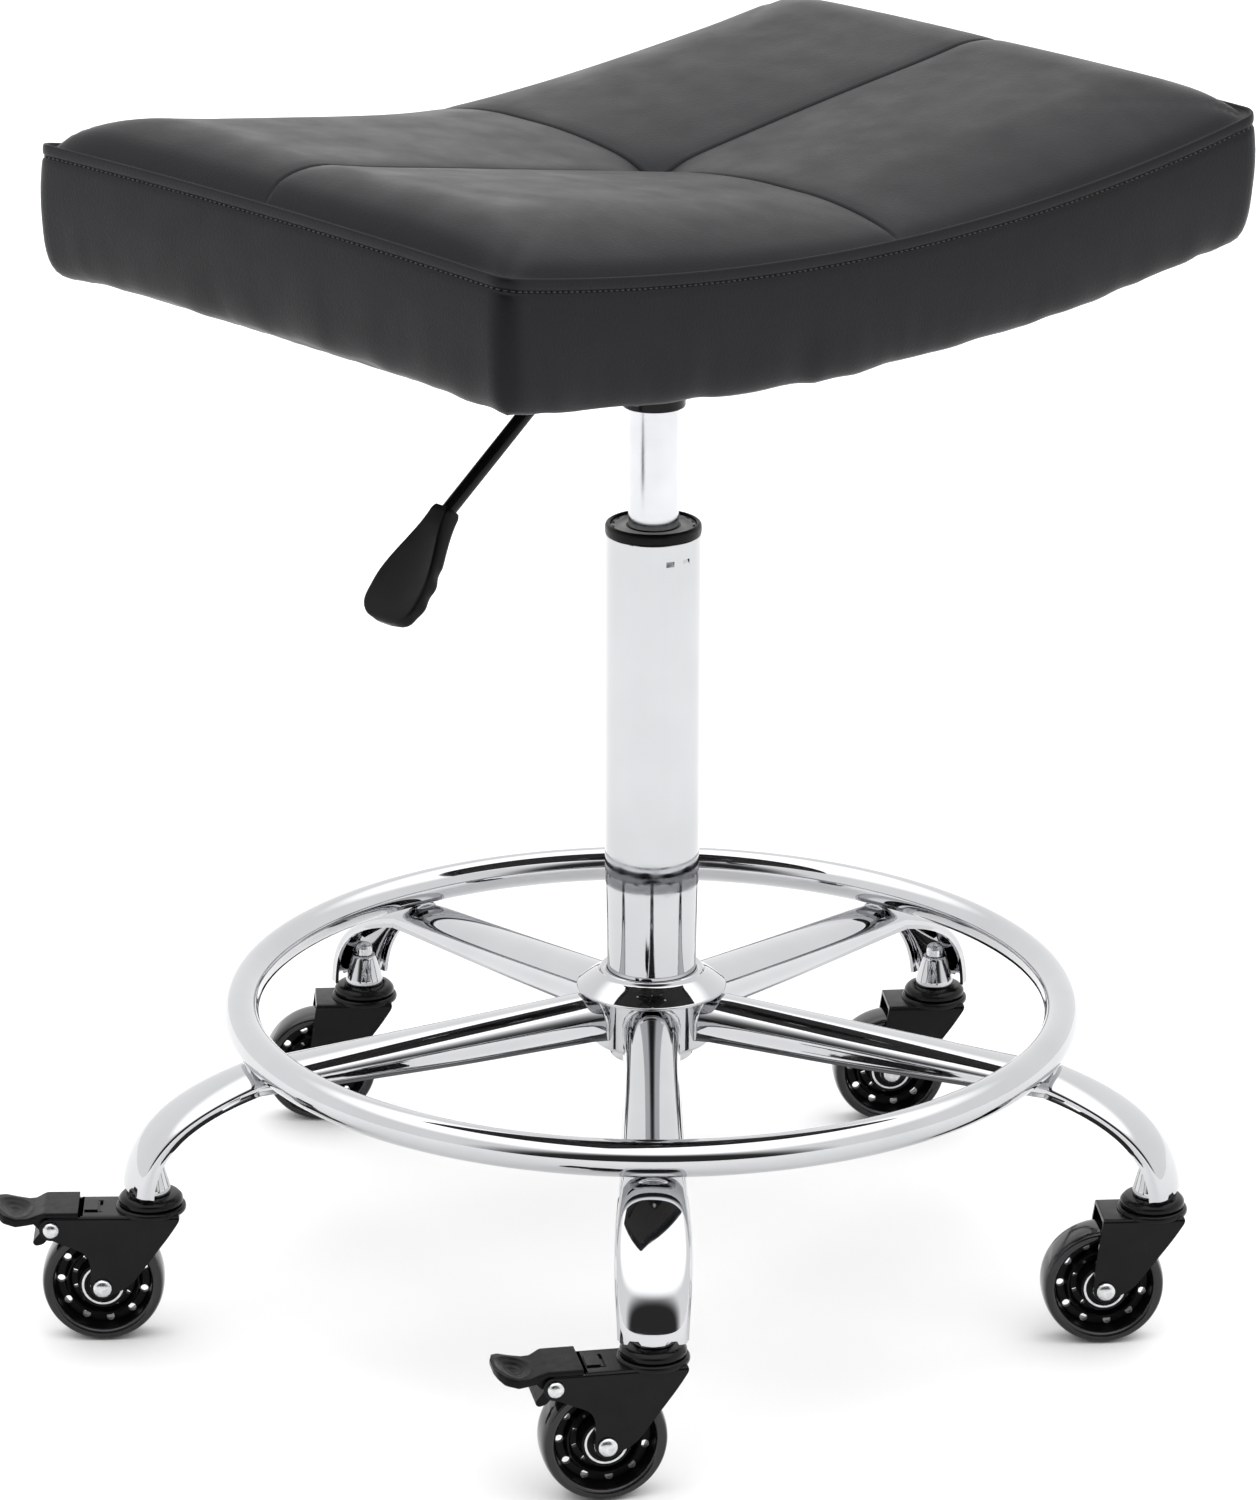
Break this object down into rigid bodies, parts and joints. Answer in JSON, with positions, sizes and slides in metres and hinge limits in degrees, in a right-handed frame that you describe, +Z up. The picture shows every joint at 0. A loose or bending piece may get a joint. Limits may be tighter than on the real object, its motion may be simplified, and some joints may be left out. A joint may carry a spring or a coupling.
{
  "type": "rolling stylist stool",
  "caption": "Backless rolling stool with a wide padded saddle seat on a gas lift, over a legged chrome base with a foot ring and swivel casters.",
  "frame": {"origin": "on the floor, under the middle of the stool's bounding box at rest; the gas lift's vertical axis stands at x = 0.0162, y = -0.0279", "axes": "+Z up; the seat's long side lies along X, and its release lever points to -X"},
  "size_m": [0.6139, 0.5751, 0.6446],
  "materials": {
    "chrome": "polished chrome plate on steel",
    "zinc": "bright zinc plate",
    "satin_steel": "ground steel rod",
    "black_metal": "semi-gloss black enamel",
    "black_plastic": "moulded black nylon, slightly grained",
    "grey_plastic": "pale acetal bush",
    "black_leather": "black PU leather over foam, fine grain, stitched",
    "plywood": "bent plywood, stained black",
    "smoked_tyre": "smoked translucent polyurethane"
  },
  "bodies": {
    "base": {"base_hub": "chrome", "foot_ring": "chrome", "gas_column": "chrome", "column_cap": "black_plastic", "guide_bushing": "grey_plastic", "leg_1": "chrome", "leg_2": "chrome", "leg_3": "chrome", "leg_4": "chrome", "leg_5": "chrome", "stem_socket_1": "chrome", "stem_socket_2": "chrome", "stem_socket_3": "chrome", "stem_socket_4": "chrome", "stem_socket_5": "chrome", "stem_1": "black_metal", "stem_2": "black_metal", "stem_3": "black_metal", "stem_4": "black_metal", "stem_5": "black_metal"},
    "swivel": {"piston_rod": "zinc", "piston_clip": "zinc"},
    "seat": {"gas_cylinder": "satin_steel", "seat_plate": "black_metal", "seat_board": "plywood", "seat_cushion": "black_leather", "seat_screw_1": "zinc", "seat_screw_2": "zinc", "seat_screw_3": "zinc", "seat_screw_4": "zinc", "lever_pin": "zinc"},
    "lever": {"lever_rod": "black_metal", "lever_paddle": "black_plastic"},
    "button": {"release_button": "black_plastic"},
    "caster_1": {"fork_1": "black_metal", "axle_1": "zinc", "brake_rivet_1": "zinc"},
    "wheel_1": {"wheel_core_1": "black_plastic", "tyre_1": "smoked_tyre"},
    "caster_2": {"fork_2": "black_metal", "axle_2": "zinc", "brake_rivet_2": "zinc"},
    "wheel_2": {"wheel_core_2": "black_plastic", "tyre_2": "smoked_tyre"},
    "caster_3": {"fork_3": "black_metal", "axle_3": "zinc"},
    "wheel_3": {"wheel_core_3": "black_plastic", "tyre_3": "smoked_tyre"},
    "caster_4": {"fork_4": "black_metal", "axle_4": "zinc"},
    "wheel_4": {"wheel_core_4": "black_plastic", "tyre_4": "smoked_tyre"},
    "caster_5": {"fork_5": "black_metal", "axle_5": "zinc"},
    "wheel_5": {"wheel_core_5": "black_plastic", "tyre_5": "smoked_tyre"},
    "pedal_1": {"brake_pedal_1": "black_plastic"},
    "pedal_2": {"brake_pedal_2": "black_plastic"}
  },
  "joints": [
    {"name": "seat_swivel", "type": "hinge", "parent": "base", "child": "swivel", "pos_m": [0.0162, -0.0279, 0.3], "axis": [0, 0, 1], "continuous": true},
    {"name": "seat_height", "type": "slide", "parent": "swivel", "child": "seat", "axis": [0, 0, 1], "range_m": [-0.05, 0.07]},
    {"name": "lever_pull", "type": "hinge", "parent": "seat", "child": "lever", "pos_m": [-0.0118, -0.0279, 0.5246], "axis": [0, 1, 0], "range_deg": [0, 8], "stiffness_Nm_per_rad": 1.5, "springref_deg": -5.73},
    {"name": "button_press", "type": "slide", "parent": "seat", "child": "button", "axis": [0, 0, 1], "range_m": [-0.0045, 0]},
    {"name": "caster_swivel_1", "type": "hinge", "parent": "base", "child": "caster_1", "pos_m": [-0.16725, -0.23236, 0.072], "axis": [0, 0, 1], "continuous": true},
    {"name": "wheel_spin_1", "type": "hinge", "parent": "caster_1", "child": "wheel_1", "pos_m": [-0.18907, -0.21915, 0.032], "axis": [-0.518, -0.8554, 0], "continuous": true},
    {"name": "caster_swivel_2", "type": "hinge", "parent": "base", "child": "caster_2", "pos_m": [-0.23495, 0.08339, 0.072], "axis": [0, 0, 1], "continuous": true},
    {"name": "wheel_spin_2", "type": "hinge", "parent": "caster_2", "child": "wheel_2", "pos_m": [-0.25442, 0.09985, 0.032], "axis": [-0.6455, -0.7638, 0], "continuous": true},
    {"name": "caster_swivel_3", "type": "hinge", "parent": "base", "child": "caster_3", "pos_m": [0.04444, 0.24535, 0.072], "axis": [0, 0, 1], "continuous": true},
    {"name": "wheel_spin_3", "type": "hinge", "parent": "caster_3", "child": "wheel_3", "pos_m": [0.0244, 0.26111, 0.032], "axis": [-0.6184, -0.7859, 0], "continuous": true},
    {"name": "caster_swivel_4", "type": "hinge", "parent": "base", "child": "caster_4", "pos_m": [0.2848, 0.02968, 0.072], "axis": [0, 0, 1], "continuous": true},
    {"name": "wheel_spin_4", "type": "hinge", "parent": "caster_4", "child": "wheel_4", "pos_m": [0.26422, 0.04474, 0.032], "axis": [-0.5906, -0.807, 0], "continuous": true},
    {"name": "caster_swivel_5", "type": "hinge", "parent": "base", "child": "caster_5", "pos_m": [0.15396, -0.26556, 0.072], "axis": [0, 0, 1], "continuous": true},
    {"name": "wheel_spin_5", "type": "hinge", "parent": "caster_5", "child": "wheel_5", "pos_m": [0.13365, -0.25014, 0.032], "axis": [-0.6046, -0.7965, 0], "continuous": true},
    {"name": "brake_1", "type": "hinge", "parent": "caster_1", "child": "pedal_1", "pos_m": [-0.2113, -0.20568, 0.065], "axis": [-0.518, -0.8554, 0], "range_deg": [0, 12]},
    {"name": "brake_2", "type": "hinge", "parent": "caster_2", "child": "pedal_2", "pos_m": [-0.27428, 0.11663, 0.065], "axis": [-0.6455, -0.7638, 0], "range_deg": [0, 12]}
  ],
  "couplings": [
    {"joint": "button_press", "follows": "lever_pull", "m_per_rad": -0.028}
  ]
}
